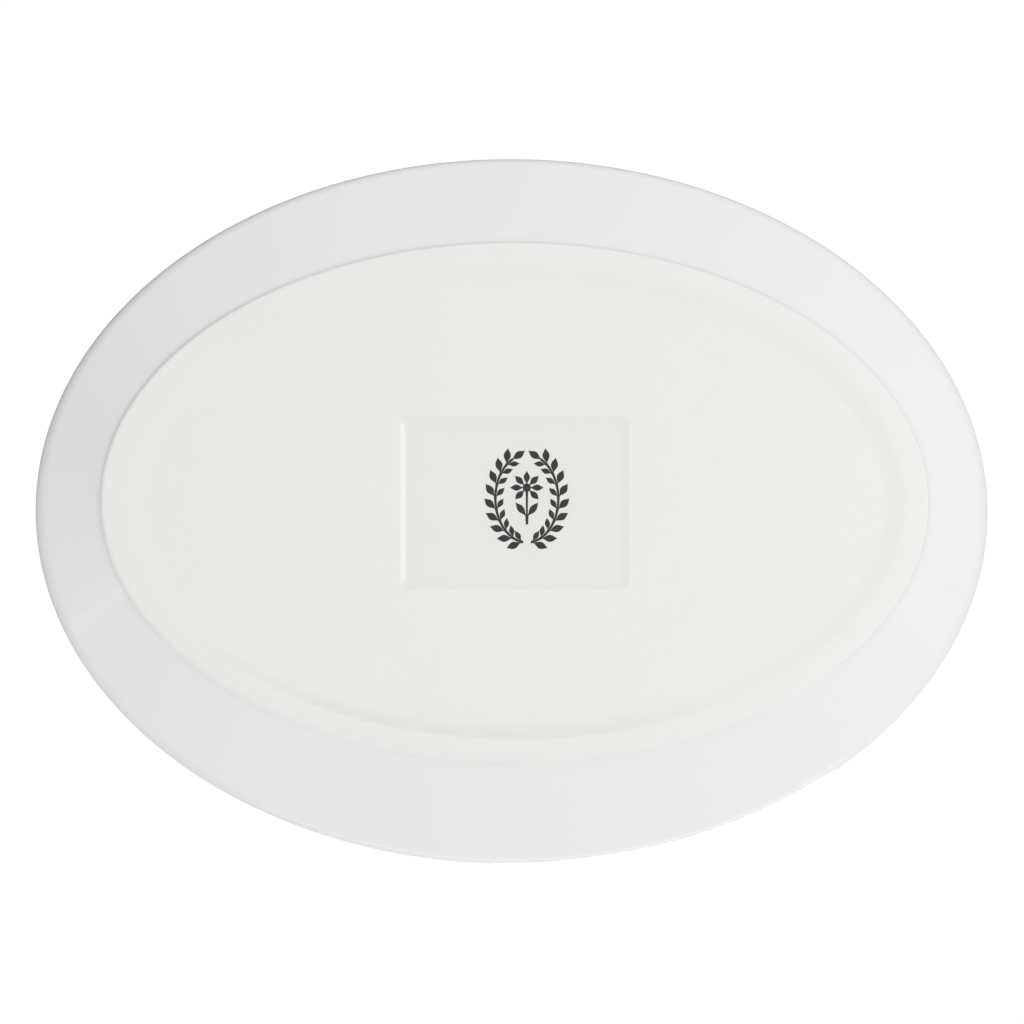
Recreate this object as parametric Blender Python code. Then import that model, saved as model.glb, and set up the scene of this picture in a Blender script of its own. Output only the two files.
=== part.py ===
"""Oval porcelain serving platter, standing on its foot ring.

X runs along the platter, Y across it and Z up. The origin is the middle of the
plane that the foot ring stands on. Lengths are in metres and angles in degrees.

The platter's section at its ends differs from the one at its sides, because the
wall flares further at the sides. Each section is a list of (radius, height)
points, and a solid is lofted round the oval from the one to the other.
"""

import math

import bmesh
import bpy
from mathutils import Matrix, Vector

# The whole platter
LENGTH = 0.320
WIDTH = 0.238
HEIGHT = 0.026
WALL = 0.0046  # thickness of the flared wall
LIP = 0.0015  # radius of the wall's rounded edge
END_BEND = 0.014  # radius in which the wall's outside bends up to the lip, at the ends
SIDE_BEND = 0.007
FLOOR = 0.0054  # thickness of the bottom, from the base to the well
WELL_FILLET = 0.012  # between the well's floor and its wall

# The foot ring, and the base that is recessed inside it
FOOT_LENGTH = 0.2732
FOOT_WIDTH = 0.1726
FOOT_STAND = 0.0018  # how far the ring stands below the wall
RING_WIDTH = 0.0070
RING_ROUND = 0.0008
BASE_RISE = 0.0012
BASE_SLOPE = 0.0045  # width of the slope from the ring up to the base

# The stamped recess in the middle of the base
STAMP_LENGTH = 0.0756
STAMP_WIDTH = 0.0585
STAMP_DEPTH = 0.0010  # to the face of its glaze
STAMP_CORNER = 0.0024

# Coats, and the space left between two coats
GLAZE = 0.0005
INK = 0.0002
GAP = 0.0003

# The printed mark: a wreath of two branches round a flower
MARK_CENTRE = Vector((0.0035, -0.0009))
STEM_OVAL = Vector((0.0104, 0.0146))  # half-axes of the oval that the branches follow
STEM_WIDTH = 0.0008
BRANCH_SPAN = (7, 154)  # from the bottom of the mark up each side
LEAF = (0.0049, 0.0022)  # length and width
LEAF_TILT = 38  # from the stem
INNER_LEAF = (0.0038, 0.0016)
INNER_TILT = 42
LEAF_ROOT = 0.0003  # width where a leaf leaves its stem
LEAVES_A_SIDE = 9
FLOWER_CENTRE = Vector((0.0, -0.0036))
FLOWER_EYE = 0.0014
PETAL_PLACES = 8  # the stalk takes one of them
PETAL = (0.0042, 0.0019)
STALK_LENGTH = 0.0108
SPRIG_LEAF = (0.0055, 0.0020)
SPRIG_SHARE = 0.72  # of the way down the stalk

# Facets
SEGMENTS = 96  # round the oval
ROUND_STEPS = 2  # in each short arc of a section
SLOPE_STEPS = 4
FILLET_STEPS = 4
LEAF_STEPS = 5

BISQUE = ((0.84, 0.83, 0.80), 0.75)
CLEAR_GLAZE = ((0.86, 0.865, 0.87), 0.12)
WARM_GLAZE = ((0.82, 0.82, 0.79), 0.25)
BLACK_INK = ((0.012, 0.012, 0.013), 0.45)


def clear_scene():
    for item in list(bpy.data.objects):
        bpy.data.objects.remove(item, do_unlink=True)


def material(name, colour, roughness):
    made = bpy.data.materials.new(name)
    made.use_nodes = True
    shader = made.node_tree.nodes["Principled BSDF"]
    shader.inputs["Base Color"].default_value = (*colour, 1.0)
    shader.inputs["Roughness"].default_value = roughness
    shader.inputs["Metallic"].default_value = 0.0
    return made


def finish_mesh(bm, name, finish):
    """The bmesh as an object that is smooth where its faces meet at a shallow angle."""
    bmesh.ops.recalc_face_normals(bm, faces=bm.faces)
    if bm.calc_volume(signed=True) < 0:
        bmesh.ops.reverse_faces(bm, faces=bm.faces)
    mesh = bpy.data.meshes.new(name)
    bm.to_mesh(mesh)
    bm.free()
    mesh.shade_smooth()
    mesh.set_sharp_from_angle(angle=math.radians(35))
    mesh.materials.append(finish)
    made = bpy.data.objects.new(name, mesh)
    bpy.context.scene.collection.objects.link(made)
    return made


def as_guide(guide):
    guide.hide_render = True
    guide.display_type = "WIRE"
    return guide


def boolean(target, other, operation):
    cut = target.modifiers.new(other.name, "BOOLEAN")
    cut.operation = operation
    cut.solver = "EXACT"
    cut.object = as_guide(other)


# Sections


def arc(centre, radius, start, end, steps):
    """Points (radius, height) along an arc; 0 degrees points outwards and 90 up."""
    angles = [math.radians(start + (end - start) * i / steps) for i in range(steps + 1)]
    return [(centre[0] + radius * math.cos(a), centre[1] + radius * math.sin(a)) for a in angles]


class Section:
    """One upright cut through the platter, from its middle out over one foot and lip."""

    def __init__(self, foot, rim, bend):
        self.foot = foot
        self.bend = bend
        self.lip = (rim - LIP, HEIGHT - LIP)
        along, up = self.lip[0] - foot, self.lip[1] - FOOT_STAND
        slope = math.atan2(up, along) - math.asin((WALL - LIP) / math.hypot(along, up))
        self.slope = math.degrees(slope)
        self.sin, self.cos = math.sin(slope), math.cos(slope)

    def beside_lip(self, outwards, along):
        """A point measured from the lip's centre, square to the straight wall and along it."""
        return (
            self.lip[0] + outwards * self.sin + along * self.cos,
            self.lip[1] - outwards * self.cos + along * self.sin,
        )

    def wall_height(self, skin, radius):
        """Height at that radius of the straight wall's outside, a skin's thickness into it."""
        point = self.beside_lip(WALL - LIP - skin, 0)
        return point[1] + (radius - point[0]) * self.sin / self.cos

    def wall_and_well(self, skin, start):
        """From the start radius up the outside of the wall, over the lip and down into the well.

        The points lie a skin's thickness below the glazed surface.
        """
        off_wall = self.bend - (WALL - LIP)
        before_lip = math.sqrt((self.bend - LIP) ** 2 - off_wall**2)
        bend_end = self.slope - 90 + math.degrees(math.atan2(before_lip, off_wall))
        bend_centre = self.beside_lip(-off_wall, -before_lip)
        points = [(start, self.wall_height(skin, start))]
        points += arc(bend_centre, self.bend - skin, self.slope - 90, bend_end, ROUND_STEPS)
        points += arc(self.lip, LIP - skin, bend_end, 0, ROUND_STEPS)[1:]
        points += arc(self.lip, LIP - skin, 0, 90, ROUND_STEPS)[1:]
        points += arc(self.lip, LIP - skin, 90, self.slope + 90, ROUND_STEPS)[1:]
        height = BASE_RISE + FLOOR + WELL_FILLET
        off_lip = LIP + WELL_FILLET
        along = (height - self.lip[1] - off_lip * self.cos) / self.sin
        fillet_centre = self.beside_lip(-off_lip, along)
        fillet = WELL_FILLET + skin
        return points + arc(fillet_centre, fillet, self.slope - 90, -90, FILLET_STEPS)

    def underside(self):
        """From the edge of the base, down its slope and across the ring to its outer side."""
        inner = self.foot - RING_WIDTH
        points = []
        for i in range(SLOPE_STEPS + 1):
            share = i / SLOPE_STEPS
            height = BASE_RISE * (1 + math.cos(math.pi * share)) / 2
            points.append((inner - BASE_SLOPE * (1 - share), height))
        corner = (self.foot - RING_ROUND, RING_ROUND)
        return points + arc(corner, RING_ROUND, -90, 0, ROUND_STEPS)

    def body(self):
        return self.underside() + self.wall_and_well(GLAZE + GAP, self.foot)

    def coat(self):
        outside = self.wall_and_well(0, self.foot + GAP)
        inside = self.wall_and_well(GLAZE, self.foot + GAP)
        return outside[::-1] + inside


ENDS = Section(FOOT_LENGTH / 2, LENGTH / 2, END_BEND)
SIDES = Section(FOOT_WIDTH / 2, WIDTH / 2, SIDE_BEND)


# Solids


def oval_solid(name, ends, sides, finish):
    """A tube with one floor for each point of the two sections, and each floor then sized."""
    bm = bmesh.new()
    bmesh.ops.create_circle(bm, cap_ends=True, radius=1, segments=SEGMENTS)
    edges = list(bm.edges)
    for _ in ends[1:]:
        grown = bmesh.ops.extrude_edge_only(bm, edges=edges)["geom"]
        corners = [part for part in grown if isinstance(part, bmesh.types.BMVert)]
        edges = [part for part in grown if isinstance(part, bmesh.types.BMEdge)]
        bmesh.ops.translate(bm, verts=corners, vec=(0, 0, 1))
    bmesh.ops.contextual_create(bm, geom=edges)
    for corner in bm.verts:
        end, side = ends[round(corner.co.z)], sides[round(corner.co.z)]
        x, y = corner.co.x, corner.co.y
        corner.co = (end[0] * x, side[0] * y, end[1] * x * x + side[1] * y * y)
    return finish_mesh(bm, name, finish)


def rounded_plate(name, length, width, corner, bottom, top, finish):
    bm = bmesh.new()
    size = Matrix.Diagonal((length, width, top - bottom, 1))
    bmesh.ops.create_cube(bm, size=1, matrix=Matrix.Translation((0, 0, (top + bottom) / 2)) @ size)
    upright = [e for e in bm.edges if abs(e.verts[0].co.z - e.verts[1].co.z) > (top - bottom) / 2]
    bmesh.ops.bevel(
        bm, geom=upright, offset=corner, affect="EDGES", segments=4, profile=0.5, material=-1
    )
    return finish_mesh(bm, name, finish)


def stamp_floor():
    """Height of the glazed face in the stamped recess."""
    return BASE_RISE + STAMP_DEPTH


def porcelain_body():
    bisque = material("bisque", *BISQUE)
    made = oval_solid("porcelain_body", ENDS.body(), SIDES.body(), bisque)
    recess = rounded_plate(
        "stamp_cutter",
        STAMP_LENGTH,
        STAMP_WIDTH,
        STAMP_CORNER,
        -BASE_RISE,
        stamp_floor() + GLAZE + GAP,
        bisque,
    )
    boolean(made, recess, "DIFFERENCE")


def glaze_coat():
    oval_solid("glaze_coat", ENDS.coat(), SIDES.coat(), material("clear glaze", *CLEAR_GLAZE))


def backstamp_glaze():
    rounded_plate(
        "backstamp_glaze",
        STAMP_LENGTH - 2 * GAP,
        STAMP_WIDTH - 2 * GAP,
        STAMP_CORNER - GAP,
        stamp_floor(),
        stamp_floor() + GLAZE,
        material("warm glaze", *WARM_GLAZE),
    )


# The printed mark. Each outline runs anticlockwise, so a leaf is drawn out along
# its right side and back along its left. +Y is the bottom of the mark, so that it
# stands the right way up when the platter is turned over end for end.


def polar(angle, radius=1.0):
    return Vector((radius * math.cos(math.radians(angle)), radius * math.sin(math.radians(angle))))


def leaf_outline(root, heading, size):
    """Round a pointed leaf of a given length and width, from one side of its root to the other."""
    length, width = size
    along, across = polar(heading), polar(heading + 90)
    right = []
    left = []
    for i in range(LEAF_STEPS):
        share = i / LEAF_STEPS
        half = LEAF_ROOT / 2 * (1 - share) + width / 2 * math.sin(math.pi * share) ** 1.4
        middle = root + along * (length * share)
        right.append(middle - across * half)
        left.append(middle + across * half)
    return right + [root + along * length] + left[::-1]


def stem_point(angle):
    """On the oval that a branch follows, at an angle from the bottom of the mark."""
    turn = math.radians(angle)
    return Vector((STEM_OVAL.x * math.sin(turn), STEM_OVAL.y * math.cos(turn)))


def stem_heading(angle):
    ahead = stem_point(angle + 1) - stem_point(angle - 1)
    return math.degrees(math.atan2(ahead.y, ahead.x))


def stem_edge(angle, side):
    return stem_point(angle) + polar(stem_heading(angle) + 90, side * STEM_WIDTH / 2)


def branch_outline():
    """Up the inner edge of the stem with its leaves, round the top leaf and down the outer edge."""
    start, end = BRANCH_SPAN
    pitch = (end - start) / LEAVES_A_SIDE
    stops = [start + pitch * (i + 0.3) for i in range(LEAVES_A_SIDE)]
    points = [stem_edge(start, -1)]
    for angle in stops:
        leaf = leaf_outline(stem_edge(angle, -1), stem_heading(angle) - INNER_TILT, INNER_LEAF)
        points += leaf + [stem_edge(angle + pitch / 2, -1)]
    points += leaf_outline(stem_point(end), stem_heading(end), LEAF)
    for angle in stops[::-1]:
        leaf = leaf_outline(stem_edge(angle, 1), stem_heading(angle) + LEAF_TILT, LEAF)
        points += [stem_edge(angle + pitch / 2, 1)] + leaf
    return points + [stem_edge(start, 1)]


def flower_outline():
    """Petals round the eye, then round the stalk, which has a leaf on each side."""
    points = []
    for i in range(1, PETAL_PLACES):
        heading = 90 + 360 / PETAL_PLACES * i
        points += leaf_outline(polar(heading, FLOWER_EYE), heading, PETAL)
    edge = STEM_WIDTH / 2
    top, foot = FLOWER_EYE, FLOWER_EYE + STALK_LENGTH
    leaf_root = FLOWER_EYE + STALK_LENGTH * SPRIG_SHARE
    points += [Vector((edge, top))]
    points += leaf_outline(Vector((edge, leaf_root)), -90 + LEAF_TILT, SPRIG_LEAF)
    points += [Vector((edge, foot)), Vector((-edge, foot))]
    points += leaf_outline(Vector((-edge, leaf_root)), -90 - LEAF_TILT, SPRIG_LEAF)
    points += [Vector((-edge, top))]
    return [point + FLOWER_CENTRE for point in points]


def ink_film(name, outline, mirror, ink):
    """An outline thickened to a film that lies just under the face of the recess."""
    bm = bmesh.new()
    corners = [bm.verts.new((mirror * point.x, point.y, 0)) for point in outline]
    bm.faces.new(corners)
    grown = bmesh.ops.extrude_face_region(bm, geom=list(bm.faces))["geom"]
    upper = [part for part in grown if isinstance(part, bmesh.types.BMVert)]
    bmesh.ops.translate(bm, verts=upper, vec=(0, 0, INK))
    level = stamp_floor() - GAP - INK
    bmesh.ops.translate(bm, verts=bm.verts, vec=(*MARK_CENTRE, level))
    finish_mesh(bm, name, ink)


def printed_mark():
    ink = material("black ink", *BLACK_INK)
    ink_film("ink_wreath_left", branch_outline(), -1, ink)
    ink_film("ink_wreath_right", branch_outline(), 1, ink)
    ink_film("ink_flower", flower_outline(), 1, ink)


clear_scene()
porcelain_body()
glaze_coat()
backstamp_glaze()
printed_mark()
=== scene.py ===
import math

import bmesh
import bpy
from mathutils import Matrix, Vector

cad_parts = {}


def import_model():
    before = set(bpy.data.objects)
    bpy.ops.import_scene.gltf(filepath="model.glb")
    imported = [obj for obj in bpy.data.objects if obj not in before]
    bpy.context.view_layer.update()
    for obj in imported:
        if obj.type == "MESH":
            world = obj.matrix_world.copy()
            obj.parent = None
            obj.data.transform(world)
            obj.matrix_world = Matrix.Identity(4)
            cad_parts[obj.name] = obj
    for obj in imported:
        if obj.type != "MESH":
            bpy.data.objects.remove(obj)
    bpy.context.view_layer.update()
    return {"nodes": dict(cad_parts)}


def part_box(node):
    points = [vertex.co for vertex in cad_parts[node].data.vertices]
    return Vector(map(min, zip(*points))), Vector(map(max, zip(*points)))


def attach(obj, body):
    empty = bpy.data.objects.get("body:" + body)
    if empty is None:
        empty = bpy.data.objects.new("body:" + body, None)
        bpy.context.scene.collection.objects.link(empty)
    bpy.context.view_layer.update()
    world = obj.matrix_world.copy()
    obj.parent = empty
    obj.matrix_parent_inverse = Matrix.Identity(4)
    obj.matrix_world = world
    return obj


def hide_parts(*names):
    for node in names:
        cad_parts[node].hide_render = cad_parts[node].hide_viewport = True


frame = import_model()

# The looks of an oval porcelain serving platter: its bisque body, its gloss glaze,
# the glaze in the stamped recess under it and the mark that is printed there.
# Metres throughout. A section is a list of (radius, height) points in one upright
# plane. The platter has one section at its ends and others at its back and front,
# and each ring of a piece is an oval that runs from the one to the next.

# From the solid model
COAT_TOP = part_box("glaze_coat")[1]
HEIGHT = COAT_TOP.z
STAMP_LOW, STAMP_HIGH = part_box("backstamp_glaze")
STAMP_FACE = STAMP_LOW.z
WREATH_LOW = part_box("ink_wreath_left")[0]
WREATH_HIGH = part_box("ink_wreath_right")[1]
FLOWER_LOW, FLOWER_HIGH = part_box("ink_flower")

# As in the solid model
WALL = 0.0046
LIP = 0.0015
END_BEND = 0.014
SIDE_BEND = 0.007
WELL_FLOOR = 0.0066
WELL_FILLET = 0.012
FOOT_STAND = 0.0018
RING_WIDTH = 0.0070
RING_ROUND = 0.0008
BASE_RISE = 0.0012
GLAZE = 0.0005
GAP = 0.0003

# Finer shapes
HAIR = 0.000008  # between a coat and what it covers
END_GROOVE = (0.0007, 62)  # how far under its straight line, and how steeply, the wall meets the foot
BACK_GROOVE = (0.0008, 64)  # the same towards -Y
FRONT_GROOVE = (0.0002, 39)  # and towards +Y
RING_TILT = 6  # degrees that the crowned foot ring leans where its rounded outer edge starts
SLOPE_WIDTH = 0.0085  # from the foot ring in to the base
SLOPE_BEND = 0.3  # share of the slope that each of its bends takes
# Inside the foot ring the bisque is darkened, partly by a real stain and partly by painted shade
# along the slope and towards +Y
STAIN_AND_SHADE_PEAK = 0.0021  # how far inside the foot ring its stain and painted shade are darkest
STAIN_AND_SHADE_FADE = 1.5  # how fast it fades on both sides of that
STAIN_AND_SHADE_REACH = 0.012  # how far past the slope it can be seen on the base
STAIN_AND_SHADE_SIDE = (-0.12, 1, 0)  # it is on this side of the platter,
STAIN_AND_SHADE_SPAN = (0.052, 0.080)  # from the first distance that way, and full from the second
BANKS = (0.0028, 0.0045, 0.0030, 0.0068)  # width of the recess's banks towards -X, +X, +Y and -Y
BANK_STARTS = (0.0014, 0.0006, 0.0008, 0.0006)  # how far outside the solid recess glaze they start
BANK_BEND = 0.3  # share of a bank that each of its bends takes
BARE_BANK = 0.22  # share of a bank's width that no glaze covers
RECESS_CORNER = 0.0024  # radius
POOL_DEPTH = 0.003  # how far up the wall the glaze pools
WORN_AND_SHEEN_HEIGHTS = (0.0003, 0.0007)  # the foot ring is worn, and painted lighter as a painted sheen, up to the first and not above the second

# How finely each stretch is divided
SEGMENTS = 288
SLOPE_RINGS = 17
STAIN_AND_SHADE_RINGS = 5
CROWN_RINGS = 6
BANK_RINGS = 17
BARE_RINGS = 5
GROOVE_STEPS = 14
RING_EDGE_STEPS = 8
BEND_STEPS = 14
LIP_STEPS = (5, 10, 6)  # below its widest line, up to its top and down inside
FILLET_STEPS = 16
LEAF_STEPS = 12

# The printed mark: a wreath of two branches round a flower on its stalk
INK = 0.00003  # thickness
STEM_WIDTH = 0.0008
STEM_OVAL = Vector((0.0104, 0.0146))
BRANCH_SPAN = (7, 154)  # degrees round the oval from its top
LEAVES_A_SIDE = 9
LEAF_PLACE = 0.3  # share of the way from one leaf's stop to the next
STEM_STOPS = (0.3, 0.5, 0.7)  # where the stem's edge has points between two leaves
LEAF = (0.0049, 0.0022)  # length and width
LEAF_TILT = 38  # degrees off the stem
INNER_LEAF = (0.0038, 0.0016)
INNER_TILT = 42
LEAF_ROOT = 0.0003
LEAF_TAPER = 1.4
MARK_GREYING = (0.75, 1.3)  # in shares of the mark's reach, where the grey round it starts to fade and where it ends
FLOWER_EYE = 0.0014
PETAL_PLACES = 8  # one of them is the stalk's
PETAL = (0.0042, 0.0019)
STALK_LENGTH = 0.0108
SPRIG_LEAF = (0.0055, 0.0020)
SPRIG_SHARE = 0.72  # how far down the stalk its two leaves are

# Colours
GLAZE_WHITE = (0.838, 0.837, 0.832)
GLAZE_POOLED = (0.82, 0.82, 0.816)
CLAY_LIGHT = (0.850, 0.850, 0.834)
CLAY_DARK = (0.808, 0.806, 0.788)
# colour of the stain and painted shade inside the foot ring
STAIN_AND_SHADE = (0.73, 0.71, 0.64)
STAMP_LIGHT = (0.828, 0.828, 0.800)
STAMP_DARK = (0.812, 0.808, 0.775)
STAMP_GREYED = (0.72, 0.72, 0.70)
INK_BLACK = (0.010, 0.010, 0.011)
INK_WORN = (0.028, 0.028, 0.030)
FLOOR_GREY = (0.64, 0.64, 0.65, 1.0)

# The studio
LENS = 130.8  # millimetres, and so is the sensor
SENSOR = 36
CAMERA_DISTANCE = 1.25
CAMERA_LEANS = (-2.11, 5.86)  # degrees off the line straight down, along X and Y
CAMERA_AIM = Vector((-0.0006, 0.0013, HEIGHT - LIP))
STUDIO_LEVEL = 0.915  # how bright the world is
STUDIO_SIDE = (-0.137, -0.094, 0.174)  # how much brighter towards each axis
STUDIO_DARK = (-0.62, -0.47, 0.63)  # towards its darkest place
STUDIO_DARKNESS = 0.94  # how much darker there
STUDIO_ABOVE = 0.5  # how much darker straight above
SOFTBOXES = {  # azimuth and rise in degrees, distance, size, watts
    "key": (5, -50, 1.5, (1.0, 1.0), 6.7),
    "left": (158.5, -10, 1.4, (0.085, 0.9), 0.19),
    "window": (21, -13, 1.35, (0.13, 0.6), 0.12),
    "side": (82, 14, 1.4, (2.0, 0.6), 2.5),
    "top": (65, 50, 1.6, (0.7, 0.7), 14.0),
}
FLOOR_RADIUS = 3.0
FLOOR_SEGMENTS = 96
FLOOR_FADE = (0.6, 2.8)  # from its middle, where it starts to fade and where it is gone
SHARP_EDGE = 35  # degrees


# Building with rings


def foot_reach(axis):
    """Half the foot's length or width, from the lowest part of the solid body."""
    corners = frame["nodes"]["porcelain_body"].data.vertices
    return max(corner.co[axis] for corner in corners if corner.co.z < RING_ROUND + GAP / 2)


def arc(centre, radius, start, end, steps):
    """Points along an arc, in degrees; 0 points outwards and 90 up."""
    angles = [math.radians(start + (end - start) * i / steps) for i in range(steps + 1)]
    return [(centre[0] + radius * math.cos(a), centre[1] + radius * math.sin(a)) for a in angles]


def ramp(share, bend):
    """Height from 0 to 1 along a straight slope that bends in and out over a share of its length."""
    steep = 1 / (1 - bend)
    if share < bend:
        return steep * share * share / (2 * bend)
    if share > 1 - bend:
        return 1 - steep * (1 - share) * (1 - share) / (2 * bend)
    return steep * (share - bend / 2)


class Section:
    """One upright cut through the platter, from its middle out over one foot and lip."""

    def __init__(self, foot, rim, bend, groove):
        self.foot = foot
        self.bend = bend
        self.groove_drop, self.groove_slope = groove
        self.lip = (rim - LIP, HEIGHT - LIP)
        along, up = self.lip[0] - foot, self.lip[1] - FOOT_STAND
        slope = math.atan2(up, along) - math.asin((WALL - LIP) / math.hypot(along, up))
        self.slope = math.degrees(slope)
        self.sin, self.cos = math.sin(slope), math.cos(slope)

    def beside_lip(self, outwards, along):
        """A point measured from the lip's centre, square to the straight wall and along it."""
        return (
            self.lip[0] + outwards * self.sin + along * self.cos,
            self.lip[1] - outwards * self.cos + along * self.sin,
        )

    def wall_height(self, skin, radius):
        """Height at a radius of the straight wall's outside, a skin's thickness into it."""
        point = self.beside_lip(WALL - LIP - skin, 0)
        return point[1] + (radius - point[0]) * self.sin / self.cos

    def hollow(self):
        """From the glaze's edge on the foot's side, along the groove's curve into the wall."""
        end = math.radians(self.groove_slope)
        run, climb = math.sin(end) - self.sin, self.cos - math.cos(end)
        radius = self.groove_drop / (climb - run * self.sin / self.cos)
        start = self.foot + HAIR
        height = self.wall_height(0, start) - self.groove_drop
        centre = (start + radius * math.sin(end), height - radius * math.cos(end))
        return arc(centre, radius, 90 + self.groove_slope, 90 + self.slope, GROOVE_STEPS)

    def over_lip(self, skin):
        """Where the wall bends up to the lip, over the lip and down into the well."""
        off_wall = self.bend - (WALL - LIP)
        before_lip = math.sqrt((self.bend - LIP) ** 2 - off_wall**2)
        bend_end = self.slope - 90 + math.degrees(math.atan2(before_lip, off_wall))
        bend_centre = self.beside_lip(-off_wall, -before_lip)
        points = arc(bend_centre, self.bend - skin, self.slope - 90, bend_end, BEND_STEPS)
        turns = (bend_end, 0, 90, self.slope + 90)
        for start, end, steps in zip(turns, turns[1:], LIP_STEPS):
            points += arc(self.lip, LIP - skin, start, end, steps)[1:]
        height = WELL_FLOOR + WELL_FILLET
        off_lip = LIP + WELL_FILLET
        along = (height - self.lip[1] - off_lip * self.cos) / self.sin
        fillet_centre = self.beside_lip(-off_lip, along)
        return points + arc(fillet_centre, WELL_FILLET + skin, self.slope - 90, -90, FILLET_STEPS)

    def coat(self):
        start = self.foot + HAIR
        outside = self.hollow() + self.over_lip(0)
        inside = [(start, self.wall_height(GLAZE, start))] + self.over_lip(GLAZE)
        return outside[::-1] + inside

    def ring(self):
        """From the base down the slope and across the crowned foot ring to the glaze's edge."""
        inner = self.foot - RING_WIDTH
        foot_of_slope = inner - SLOPE_WIDTH
        rests = [STAIN_AND_SHADE_REACH * (1 - i / STAIN_AND_SHADE_RINGS) for i in range(STAIN_AND_SHADE_RINGS)]
        points = [(foot_of_slope - rest, BASE_RISE) for rest in rests]
        for i in range(SLOPE_RINGS):
            share = i / (SLOPE_RINGS - 1)
            height = BASE_RISE * (1 - ramp(share, SLOPE_BEND))
            points.append((inner - SLOPE_WIDTH * (1 - share), height))
        tilt, end = math.radians(RING_TILT), math.radians(self.groove_slope)
        run, climb = math.sin(end) - math.sin(tilt), math.cos(tilt) - math.cos(end)
        lean = math.tan(tilt) / 2
        radius = (self.hollow()[0][1] - RING_WIDTH * lean) / (climb - run * lean)
        face = RING_WIDTH - radius * run
        for i in range(1, CROWN_RINGS):
            share = i / CROWN_RINGS
            points.append((inner + face * share, face * lean * share * share))
        centre = (self.foot - radius * math.sin(end), face * lean + radius * math.cos(tilt))
        return points + arc(centre, radius, RING_TILT - 90, self.groove_slope - 90, RING_EDGE_STEPS)

    def body(self):
        skin = GLAZE + GAP
        return self.ring() + [(self.foot, self.wall_height(skin, self.foot))] + self.over_lip(skin)


ENDS = Section(foot_reach(0), COAT_TOP.x, END_BEND, END_GROOVE)
BACK = Section(foot_reach(1), COAT_TOP.y, SIDE_BEND, BACK_GROOVE)
FRONT = Section(foot_reach(1), COAT_TOP.y, SIDE_BEND, FRONT_GROOVE)


def oval(end, back, front):
    """A ring that passes through one point at the ends and others at the back and the front."""

    def place(x, y):
        side = back if y < 0 else front
        return end[0] * x, side[0] * y, end[1] * x * x + side[1] * y * y

    return place


def plate(share, height, spread=0.0):
    """A ring round the stamped recess, part of the way down its banks: a rounded rectangle."""
    edges = [spread + start - bank * share for start, bank in zip(BANK_STARTS, BANKS)]
    left, right, front, back = edges
    corner = RECESS_CORNER + spread

    def place(x, y):
        side = STAMP_LOW.x - left + corner if x < 0 else STAMP_HIGH.x + right - corner
        edge = STAMP_LOW.y - back + corner if y < 0 else STAMP_HIGH.y + front - corner
        return side + corner * x, edge + corner * y, height

    return place


def bank_height(share):
    """Height of the recess's bank above the foot's plane, part of the way in from its edge."""
    return BASE_RISE + (STAMP_FACE - BASE_RISE) * ramp(share, BANK_BEND)


def finish_piece(bm, name, finish, node):
    """Make a bmesh a piece that stands for one node of the solid model."""
    bmesh.ops.recalc_face_normals(bm, faces=bm.faces)
    if bm.calc_volume(signed=True) < 0:
        bmesh.ops.reverse_faces(bm, faces=bm.faces)
    mesh = bpy.data.meshes.new(name)
    bm.to_mesh(mesh)
    bm.free()
    mesh.shade_smooth()
    mesh.set_sharp_from_angle(angle=math.radians(SHARP_EDGE))
    mesh.materials.append(finish)
    piece = bpy.data.objects.new(name, mesh)
    bpy.context.scene.collection.objects.link(piece)
    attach(piece, "root")
    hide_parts(node)
    return piece


def ringed(places, dust_and_shade=None):
    """A closed skin over rings, one for each place, capped at both ends."""
    bm = bmesh.new()
    half_turn = Matrix.Rotation(math.pi / SEGMENTS, 4, "Z")
    bmesh.ops.create_circle(bm, cap_ends=True, radius=1, segments=SEGMENTS, matrix=half_turn)
    edges = list(bm.edges)
    for _ in places[1:]:
        grown = bmesh.ops.extrude_edge_only(bm, edges=edges)["geom"]
        corners = [part for part in grown if isinstance(part, bmesh.types.BMVert)]
        edges = [part for part in grown if isinstance(part, bmesh.types.BMEdge)]
        bmesh.ops.translate(bm, verts=corners, vec=(0, 0, 1))
    bmesh.ops.contextual_create(bm, geom=edges)
    layer = bm.verts.layers.float.new("dust_and_shade")
    for corner in bm.verts:
        level = round(corner.co.z)
        corner.co = places[level](corner.co.x, corner.co.y)
        if dust_and_shade:
            corner[layer] = dust_and_shade.get(level, 0.0)
    return bm


# Shaders


# A Mix node has sockets of the same name for numbers, vectors and colours
FACTOR, COLOUR_A, COLOUR_B, COLOUR_RESULT = 0, 6, 7, 2


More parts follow.
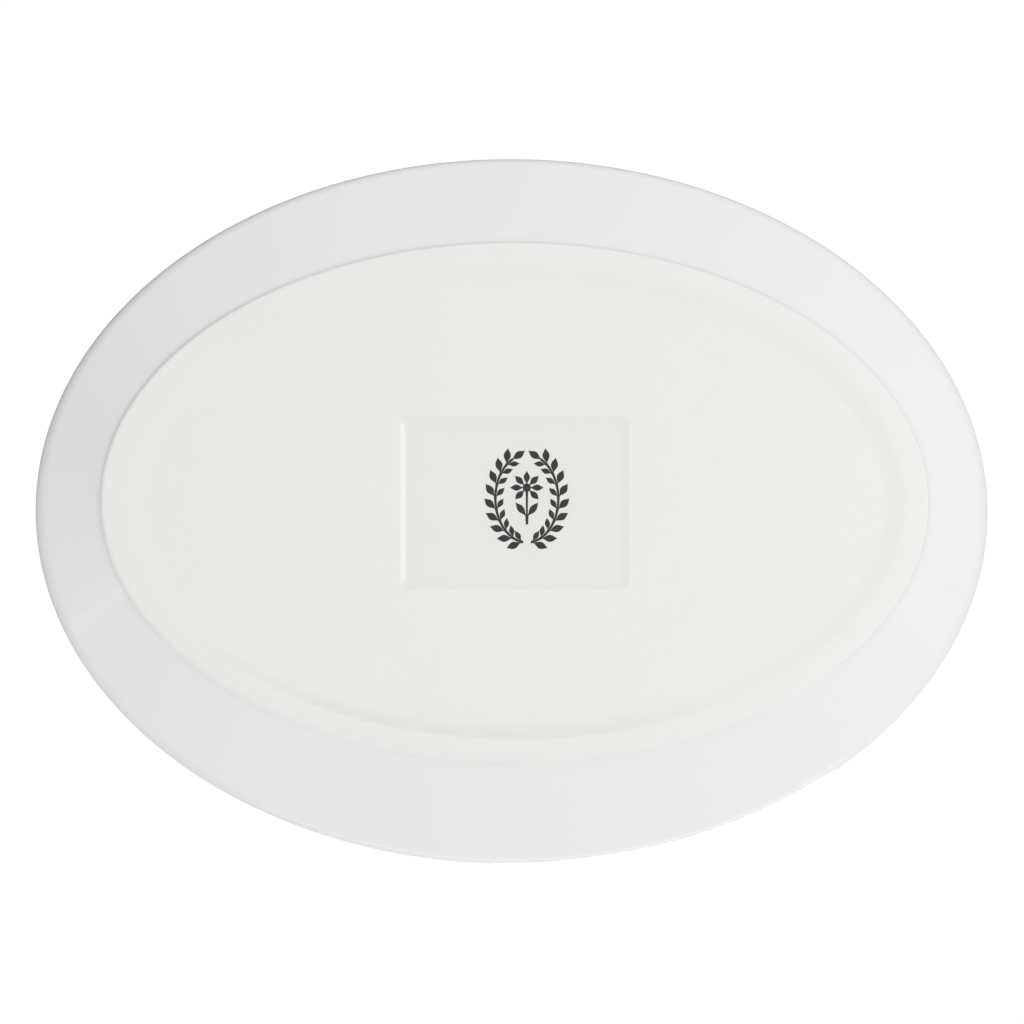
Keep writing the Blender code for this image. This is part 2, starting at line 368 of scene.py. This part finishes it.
class Shading:
    """A node tree, and the one way that nodes are added to it."""

    def __init__(self, tree):
        self.tree = tree

    def node(self, kind, settings, inputs, output=0):
        made = self.tree.nodes.new(kind)
        for key, value in settings.items():
            setattr(made, key, value)
        for key, value in inputs.items():
            self.feed(made.inputs[key], value)
        return Value(self, made.outputs[output])

    def feed(self, socket, value):
        if isinstance(value, Value):
            self.tree.links.new(value.socket, socket)
        else:
            socket.default_value = value

    def place(self):
        return self.node("ShaderNodeTexCoord", {}, {}, "Object")

    def height(self, vector):
        return self.node("ShaderNodeSeparateXYZ", {}, {"Vector": vector}, "Z")

    def length(self, vector):
        return self.node("ShaderNodeVectorMath", {"operation": "LENGTH"}, {0: vector}, "Value")

    def along(self, vector, direction):
        """How far a vector reaches in a direction."""
        dot = {"operation": "DOT_PRODUCT"}
        return self.node("ShaderNodeVectorMath", dot, {0: vector, 1: direction}, "Value")

    def noise(self, scale, detail=2.0, roughness=0.5):
        inputs = {"Vector": self.place(), "Scale": scale, "Detail": detail, "Roughness": roughness}
        return self.node("ShaderNodeTexNoise", {}, inputs, "Fac")

    def between(self, share, first, second):
        """A colour part of the way from the first to the second."""
        first, second = [c if isinstance(c, Value) else (*c, 1.0) for c in (first, second)]
        inputs = {FACTOR: share, COLOUR_A: first, COLOUR_B: second}
        return self.node("ShaderNodeMix", {"data_type": "RGBA"}, inputs, COLOUR_RESULT)

    def bump(self, height, distance, below=None):
        inputs = {"Height": height, "Distance": distance, "Strength": 1.0}
        if below:
            inputs["Normal"] = below
        return self.node("ShaderNodeBump", {}, inputs)


class Finish(Shading):
    """A material for one of the platter's surfaces."""

    def __init__(self, name):
        self.material = bpy.data.materials.new(name)
        self.material.use_nodes = True
        super().__init__(self.material.node_tree)
        self.shader = self.tree.nodes["Principled BSDF"]

    def set(self, **inputs):
        for key, value in inputs.items():
            self.feed(self.shader.inputs[key.replace("_", " ")], value)


class Value:
    """A number that a node gives. Sums with it add Math nodes."""

    def __init__(self, shading, socket):
        self.shading, self.socket = shading, socket

    def maths(self, operation, first, second):
        return self.shading.node("ShaderNodeMath", {"operation": operation}, {0: first, 1: second})

    def __add__(self, other):
        return self.maths("ADD", self, other)

    __radd__ = __add__

    def __sub__(self, other):
        return self.maths("SUBTRACT", self, other)

    def __rsub__(self, other):
        return self.maths("SUBTRACT", other, self)

    def __mul__(self, other):
        return self.maths("MULTIPLY", self, other)

    __rmul__ = __mul__

    def or_zero(self):
        """The number where it is above 0, and 0 elsewhere."""
        return self.maths("MAXIMUM", self, 0.0)

    def rise(self, low, high):
        """0 below low and 1 above high, smooth between them."""
        settings = {"interpolation_type": "SMOOTHSTEP"}
        inputs = {"Value": self, "From Min": low, "From Max": high}
        return self.shading.node("ShaderNodeMapRange", settings, inputs)


def gloss_glaze():
    """Clear glaze over white porcelain, a little darker where it pools above the foot."""
    finish = Finish("gloss glaze")
    pooled = 1 - finish.height(finish.place()).rise(FOOT_STAND, FOOT_STAND + POOL_DEPTH)
    cloud = finish.noise(22.0, 3.0)
    tint = finish.between(pooled * 0.6 + cloud * 0.3, GLAZE_WHITE, GLAZE_POOLED)
    skin = finish.bump(finish.noise(160.0, 2.0), 0.000008)
    finish.set(
        Base_Color=tint,
        Roughness=0.09 + finish.noise(400.0) * 0.05,
        Normal=finish.bump(finish.noise(35.0, 1.0), 0.0002, skin),
        IOR=1.5,
    )
    return finish.material


def bisque():
    """Unglazed porcelain: matt, with a fine grain, and darkened inside the foot, most towards +Y, by
    a stain and painted shade.
    """
    finish = Finish("bisque")
    dust_and_shade = finish.node("ShaderNodeAttribute", {"attribute_name": "dust_and_shade"}, {}, "Fac")
    across = finish.along(finish.place(), STAIN_AND_SHADE_SIDE)
    worn_and_sheen = 1 - finish.height(finish.place()).rise(*WORN_AND_SHEEN_HEIGHTS)
    grain = finish.noise(1900.0, 3.0, 0.6)
    cloud = finish.noise(40.0, 6.0, 0.62)
    # where the foot ring is worn it has its own grain and is painted lighter, as a painted sheen
    mottle = grain * 0.5 + cloud * 0.5 + worn_and_sheen * finish.noise(420.0, 3.0) * 0.3 - worn_and_sheen * 0.15
    clay = finish.between(mottle, CLAY_LIGHT, CLAY_DARK)
    patches = finish.noise(90.0, 3.0).rise(0.35, 0.62)
    # painted shade and a stain inside the foot ring: faint all round, and strong in patches towards
    # +Y
    stain_and_shade = dust_and_shade * (0.05 + across.rise(*STAIN_AND_SHADE_SPAN) * (0.38 + patches * 0.16))
    tint = finish.between(stain_and_shade, clay, STAIN_AND_SHADE)
    pits = finish.bump(grain, 0.00004)
    finish.set(
        Base_Color=tint,
        Roughness=0.62 + cloud * 0.15,
        Normal=finish.bump(finish.noise(700.0, 2.0), 0.00006, pits),
        IOR=1.45,
    )
    return finish.material


def stamp_glaze():
    """The thicker, warmer glaze of the recess, a little grey round the print."""
    finish = Finish("stamp glaze")
    middle = (WREATH_LOW + WREATH_HIGH) / 2
    reach = (WREATH_HIGH - WREATH_LOW) / 2
    spread = (1 / reach.x, 1 / reach.y, 0.0)
    shift = (-middle.x / reach.x, -middle.y / reach.y, 0.0)
    inputs = {"Vector": finish.place(), "Scale": spread, "Location": shift}
    mark = finish.node("ShaderNodeMapping", {}, inputs)
    # greyer round the print, fading out away from it
    greyed = (1 - finish.length(mark).rise(*MARK_GREYING)) * 0.3
    cloud = finish.noise(60.0, 3.0)
    glaze = finish.between(cloud, STAMP_LIGHT, STAMP_DARK)
    tint = finish.between(greyed, glaze, STAMP_GREYED)
    finish.set(
        Base_Color=tint,
        Roughness=0.16 + cloud * 0.06,
        Normal=finish.bump(finish.noise(60.0, 1.0), 0.00003),
        IOR=1.5,
    )
    return finish.material


def black_ink():
    finish = Finish("black ink")
    mottle = finish.noise(1500.0, 3.0)
    tint = finish.between(mottle, INK_BLACK, INK_WORN)
    finish.set(Base_Color=tint, Roughness=0.3 + mottle * 0.15)
    return finish.material


# Pieces


def glazed_coat():
    places = [oval(*points) for points in zip(ENDS.coat(), BACK.coat(), FRONT.coat())]
    return finish_piece(ringed(places), "glazed_coat", gloss_glaze(), "glaze_coat")


def bisque_body():
    hidden = STAMP_FACE + GLAZE + GAP
    places = [plate(BARE_BANK, hidden)]
    shares = [BARE_BANK * (1 - i / BARE_RINGS) for i in range(BARE_RINGS + 1)]
    places += [plate(share, bank_height(share)) for share in shares]
    first = len(places)
    places += [oval(*points) for points in zip(ENDS.body(), BACK.body(), FRONT.body())]
    dust_and_shade = {}
    # each ring inside the foot ring gets a share of the stain and painted shade, darkest a little
    # inside the ring
    for i, point in enumerate(ENDS.ring()):
        inside = max(ENDS.foot - RING_WIDTH - point[0], 0) / STAIN_AND_SHADE_PEAK
        dust_and_shade[first + i] = (inside * math.exp(1 - inside)) ** STAIN_AND_SHADE_FADE
    return finish_piece(ringed(places, dust_and_shade), "bisque_body", bisque(), "porcelain_body")


def recess_glaze():
    places = [plate(BARE_BANK, STAMP_FACE + GLAZE, -HAIR)]
    for i in range(BANK_RINGS):
        share = BARE_BANK + (1 - BARE_BANK) * i / (BANK_RINGS - 1)
        places.append(plate(share, bank_height(share), -HAIR))
    glaze = ringed(places)
    return finish_piece(glaze, "recess_glaze", stamp_glaze(), "backstamp_glaze")


def polar(angle, radius=1.0):
    return Vector((radius * math.cos(math.radians(angle)), radius * math.sin(math.radians(angle))))


def leaf_outline(root, heading, length, width):
    along, across = polar(heading), polar(heading + 90)
    right = []
    left = []
    for i in range(LEAF_STEPS):
        share = i / LEAF_STEPS
        half = LEAF_ROOT / 2 * (1 - share) + width / 2 * math.sin(math.pi * share) ** LEAF_TAPER
        middle = root + along * (length * share)
        right.append(middle - across * half)
        left.append(middle + across * half)
    return right + [root + along * length] + left[::-1]


def stem_point(angle):
    turn = math.radians(angle)
    return Vector((STEM_OVAL.x * math.sin(turn), STEM_OVAL.y * math.cos(turn)))


def stem_heading(angle):
    ahead = stem_point(angle + 1) - stem_point(angle - 1)
    return math.degrees(math.atan2(ahead.y, ahead.x))


def stem_edge(angle, side):
    return stem_point(angle) + polar(stem_heading(angle) + 90, side * STEM_WIDTH / 2)


def branch_outline():
    start, end = BRANCH_SPAN
    pitch = (end - start) / LEAVES_A_SIDE
    stops = [start + pitch * (i + LEAF_PLACE) for i in range(LEAVES_A_SIDE)]
    points = [stem_edge(start, -1)]
    for angle in stops:
        heading = stem_heading(angle) - INNER_TILT
        points += leaf_outline(stem_edge(angle, -1), heading, *INNER_LEAF)
        points += [stem_edge(angle + pitch * share, -1) for share in STEM_STOPS]
    points += leaf_outline(stem_point(end), stem_heading(end), *LEAF)
    for angle in stops[::-1]:
        points += [stem_edge(angle + pitch * share, 1) for share in STEM_STOPS[::-1]]
        heading = stem_heading(angle) + LEAF_TILT
        points += leaf_outline(stem_edge(angle, 1), heading, *LEAF)
    return points + [stem_edge(start, 1)]


def flower_outline():
    points = []
    for i in range(1, PETAL_PLACES):
        heading = 90 + 360 / PETAL_PLACES * i
        points += leaf_outline(polar(heading, FLOWER_EYE), heading, *PETAL)
    edge = STEM_WIDTH / 2
    top, foot = FLOWER_EYE, FLOWER_EYE + STALK_LENGTH
    leaf_root = FLOWER_EYE + STALK_LENGTH * SPRIG_SHARE
    points += [Vector((edge, top))]
    points += leaf_outline(Vector((edge, leaf_root)), -90 + LEAF_TILT, *SPRIG_LEAF)
    points += [Vector((edge, foot)), Vector((-edge, foot))]
    points += leaf_outline(Vector((-edge, leaf_root)), -90 - LEAF_TILT, *SPRIG_LEAF)
    return points + [Vector((-edge, top))]


def ink_film(name, outline, mirror, centre, ink):
    """A thin film of ink on the recess's glaze, in the shape of an outline."""
    bm = bmesh.new()
    corners = [
        bm.verts.new((centre.x + mirror * point.x, centre.y + point.y, STAMP_FACE - HAIR))
        for point in outline
    ]
    bm.faces.new(corners)
    grown = bmesh.ops.extrude_face_region(bm, geom=list(bm.faces))["geom"]
    lower = [part for part in grown if isinstance(part, bmesh.types.BMVert)]
    bmesh.ops.translate(bm, verts=lower, vec=(0, 0, -INK))
    return finish_piece(bm, "printed_" + name, ink, "ink_" + name)


def printed_mark():
    ink = black_ink()
    middle = (WREATH_LOW + WREATH_HIGH) / 2
    ink_film("wreath_left", branch_outline(), -1, middle, ink)
    ink_film("wreath_right", branch_outline(), 1, middle, ink)
    flower = flower_outline()
    low = min(point.y for point in flower)
    centre = Vector(((FLOWER_LOW.x + FLOWER_HIGH.x) / 2, FLOWER_LOW.y - low, 0))
    ink_film("flower", flower, 1, centre, ink)


# Setting


def camera():
    """Under the platter and a little off its middle, so that its long axis lies level."""
    lens = bpy.data.cameras.new("camera")
    lens.lens = LENS
    lens.sensor_width = SENSOR
    eye = bpy.data.objects.new("camera", lens)
    bpy.context.scene.collection.objects.link(eye)
    leans = [math.tan(math.radians(lean)) for lean in CAMERA_LEANS]
    back = Vector((*leans, -1)).normalized()
    right = (Vector((1, 0, 0)) - back * back.x).normalized()
    turn = Matrix((right, back.cross(right), back)).transposed().to_4x4()
    eye.matrix_world = Matrix.Translation(CAMERA_AIM + back * CAMERA_DISTANCE) @ turn
    bpy.context.scene.camera = eye


def world():
    """White to the camera. The platter is lit by a softer white that varies with direction."""
    made = bpy.data.worlds.new("studio")
    made.use_nodes = True
    studio = Shading(made.node_tree)
    aim = studio.node("ShaderNodeTexCoord", {}, {}, "Generated")
    side = studio.along(aim, STUDIO_SIDE)
    dark = studio.along(aim, STUDIO_DARK).or_zero()
    above = studio.height(aim).or_zero()
    strength = STUDIO_LEVEL + side - STUDIO_DARKNESS * (dark * dark * dark) - STUDIO_ABOVE * above
    lit = studio.node("ShaderNodeBackground", {}, {"Color": (1, 1, 1, 1), "Strength": strength})
    seen = studio.node("ShaderNodeBackground", {}, {"Color": (1, 1, 1, 1), "Strength": 1.0})
    camera_ray = studio.node("ShaderNodeLightPath", {}, {}, "Is Camera Ray")
    mix = studio.node("ShaderNodeMixShader", {}, {0: camera_ray, 1: lit, 2: seen})
    studio.feed(studio.tree.nodes["World Output"].inputs["Surface"], mix)
    bpy.context.scene.world = made


def softbox(name, azimuth, rise, distance, size, power):
    """A lamp that faces the platter, from a direction in degrees about and above its foot."""
    lamp = bpy.data.lights.new(name, "AREA")
    lamp.shape = "RECTANGLE"
    lamp.size, lamp.size_y = size
    lamp.energy = power
    box = bpy.data.objects.new(name, lamp)
    bpy.context.scene.collection.objects.link(box)
    flat = polar(azimuth, math.cos(math.radians(rise)))
    away = Vector((flat.x, flat.y, math.sin(math.radians(rise))))
    turn = away.to_track_quat("Z", "Y").to_matrix().to_4x4()
    box.matrix_world = Matrix.Translation(away * distance) @ turn
    box.visible_camera = False


def floor():
    """A pale floor that is seen from above only and fades out far from the platter."""
    bm = bmesh.new()
    bmesh.ops.create_circle(bm, cap_ends=True, radius=FLOOR_RADIUS, segments=FLOOR_SEGMENTS)
    bmesh.ops.translate(bm, verts=bm.verts, vec=(0, 0, -HAIR))
    mesh = bpy.data.meshes.new("floor")
    bm.to_mesh(mesh)
    bm.free()
    finish = Finish("pale floor")
    finish.set(Base_Color=FLOOR_GREY, Roughness=0.6)
    behind = finish.node("ShaderNodeNewGeometry", {}, {}, "Backfacing")
    faded = finish.length(finish.place()).rise(*FLOOR_FADE)
    hidden = behind.maths("MAXIMUM", behind, faded)
    clear = finish.node("ShaderNodeBsdfTransparent", {}, {})
    matt = Value(finish, finish.shader.outputs["BSDF"])
    mix = finish.node("ShaderNodeMixShader", {}, {0: hidden, 1: matt, 2: clear})
    finish.feed(finish.tree.nodes["Material Output"].inputs["Surface"], mix)
    mesh.materials.append(finish.material)
    made = bpy.data.objects.new("floor", mesh)
    bpy.context.scene.collection.objects.link(made)
    made.visible_shadow = False
    made.visible_diffuse = False
    made.visible_glossy = False
    made.visible_transmission = False


glazed_coat()
bisque_body()
recess_glaze()
printed_mark()
camera()
world()
floor()
for lamp_name, setting in SOFTBOXES.items():
    softbox(lamp_name, *setting)
bpy.context.scene.view_settings.view_transform = "Standard"
